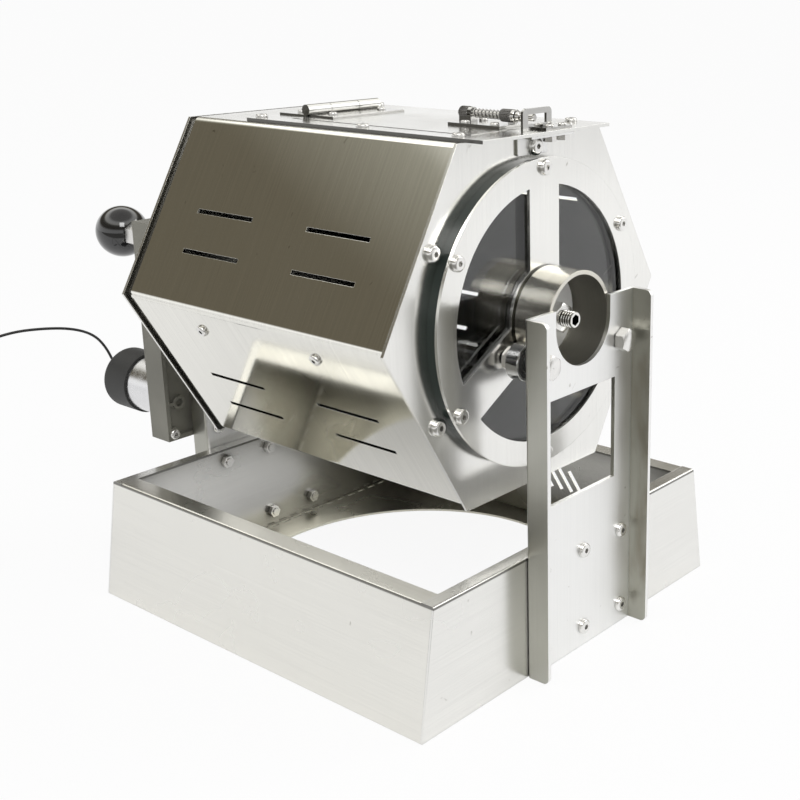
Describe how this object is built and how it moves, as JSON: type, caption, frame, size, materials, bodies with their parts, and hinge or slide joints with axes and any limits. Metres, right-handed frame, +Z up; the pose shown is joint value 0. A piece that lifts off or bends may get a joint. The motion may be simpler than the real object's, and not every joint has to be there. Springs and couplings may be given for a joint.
{
  "type": "coffee bean roaster",
  "caption": "Hexagonal stainless drum with a glass end and hinged door, turning on bearings between two stands over an open burner tray, driven by a geared motor.",
  "frame": {"origin": "centre of the round burner opening, at table level", "axes": "+Z up, the glass end of the drum faces -Y, the drum turns about Y"},
  "size_m": [0.3358, 0.4937, 0.3311],
  "materials": {
    "stainless": "brushed stainless sheet, fine grain, light handling marks",
    "drum_steel": "brushed stainless sheet with faint heat tint and scratches",
    "turned_steel": "turned stainless tube",
    "zinc_fasteners": "bright stainless button heads and nuts",
    "bearing_steel": "ground bearing steel",
    "hinge_chrome": "polished nickel plate",
    "latch_steel": "dark plated steel",
    "spring_steel": "coiled spring wire",
    "cast_alloy": "grey die casting",
    "motor_steel": "satin plated can",
    "gear_steel": "cut gear steel",
    "black_rubber": "moulded rubber boot",
    "lead_jacket": "thin flexible jacket",
    "black_plastic": "moulded connector",
    "knob_black": "polished phenolic ball",
    "tempered_glass": "clear tempered glass with a smoked reflection"
  },
  "bodies": {
    "root": {"base_plate": "stainless", "base_front_wall": "stainless", "base_rear_wall": "stainless", "base_left_wall": "stainless", "base_right_wall": "stainless", "front_stand": "stainless", "rear_stand": "stainless", "stand_screws": "zinc_fasteners", "stand_nuts": "zinc_fasteners", "bearing_bolts": "zinc_fasteners", "bearing_spacers": "zinc_fasteners", "bearing_inner_rings": "bearing_steel", "gearbox_housing": "cast_alloy", "gearbox_cover": "cast_alloy", "gearbox_screws": "zinc_fasteners", "motor_can": "motor_steel", "motor_cap": "black_rubber", "lead": "lead_jacket", "lead_coil": "lead_jacket", "lead_plug": "black_plastic"},
    "drum": {"drum_front_plate": "drum_steel", "drum_rear_plate": "drum_steel", "drum_panel_top": "drum_steel", "drum_panel_upper_left": "drum_steel", "drum_panel_lower_left": "drum_steel", "drum_panel_bottom": "drum_steel", "drum_panel_lower_right": "drum_steel", "drum_panel_upper_right": "drum_steel", "drum_front_flange": "stainless", "drum_rear_flange": "stainless", "flange_screws": "zinc_fasteners", "glass_disc": "tempered_glass", "spider_plate": "stainless", "spider_screws": "zinc_fasteners", "front_neck": "turned_steel", "rear_neck": "turned_steel", "vanes": "stainless", "vane_screws": "zinc_fasteners", "frame_plate": "stainless", "frame_screws": "zinc_fasteners", "hinge_rear_leaf": "hinge_chrome", "hinge_pin": "hinge_chrome", "keeper": "hinge_chrome", "overhang_bracket": "stainless", "center_rod": "turned_steel", "rod_nuts": "zinc_fasteners", "knob_ball": "knob_black", "output_gear": "gear_steel"},
    "door": {"door_plate": "stainless", "door_screws": "zinc_fasteners", "hinge_front_leaf": "hinge_chrome", "latch_base": "latch_steel", "latch_spring": "spring_steel"},
    "latch": {"latch_bolt": "latch_steel"},
    "idler": {"idler_gear": "gear_steel"},
    "motor_rotor": {"motor_pinion": "gear_steel"},
    "ring_front_left": {"bearing_ring_front_left": "bearing_steel"},
    "ring_front_right": {"bearing_ring_front_right": "bearing_steel"},
    "ring_rear_left": {"bearing_ring_rear_left": "bearing_steel"},
    "ring_rear_right": {"bearing_ring_rear_right": "bearing_steel"}
  },
  "joints": [
    {"name": "drum_spin", "type": "hinge", "parent": "root", "child": "drum", "pos_m": [0, 0, 0.21], "axis": [0, 1, 0], "continuous": true},
    {"name": "door_hinge", "type": "hinge", "parent": "drum", "child": "door", "pos_m": [0, 0.046, 0.32225], "axis": [-1, 0, 0], "range_deg": [0, 110]},
    {"name": "latch_slide", "type": "slide", "parent": "door", "child": "latch", "axis": [0, -1, 0], "range_m": [-0.007, 0.006], "stiffness_N_per_m": 300, "deforming": ["latch_spring"]},
    {"name": "idler_spin", "type": "hinge", "parent": "root", "child": "idler", "pos_m": [-0.02276, 0, 0.15112], "axis": [0, 1, 0], "continuous": true},
    {"name": "motor_spin", "type": "hinge", "parent": "root", "child": "motor_rotor", "pos_m": [-0.045, 0, 0.112], "axis": [0, 1, 0], "continuous": true},
    {"name": "ring_front_left_roll", "type": "hinge", "parent": "root", "child": "ring_front_left", "pos_m": [-0.037, 0, 0.19165], "axis": [0, 1, 0], "continuous": true},
    {"name": "ring_front_right_roll", "type": "hinge", "parent": "root", "child": "ring_front_right", "pos_m": [0.037, 0, 0.19165], "axis": [0, 1, 0], "continuous": true},
    {"name": "ring_rear_left_roll", "type": "hinge", "parent": "root", "child": "ring_rear_left", "pos_m": [-0.037, 0, 0.19165], "axis": [0, 1, 0], "continuous": true},
    {"name": "ring_rear_right_roll", "type": "hinge", "parent": "root", "child": "ring_rear_right", "pos_m": [0.037, 0, 0.19165], "axis": [0, 1, 0], "continuous": true}
  ],
  "couplings": [
    {"joint": "idler_spin", "follows": "drum_spin", "ratio": -0.68333},
    {"joint": "motor_spin", "follows": "drum_spin", "ratio": 3.4167},
    {"joint": "ring_front_left_roll", "follows": "drum_spin", "ratio": -2.7273},
    {"joint": "ring_front_right_roll", "follows": "drum_spin", "ratio": -2.7273},
    {"joint": "ring_rear_left_roll", "follows": "drum_spin", "ratio": -2.7273},
    {"joint": "ring_rear_right_roll", "follows": "drum_spin", "ratio": -2.7273}
  ]
}
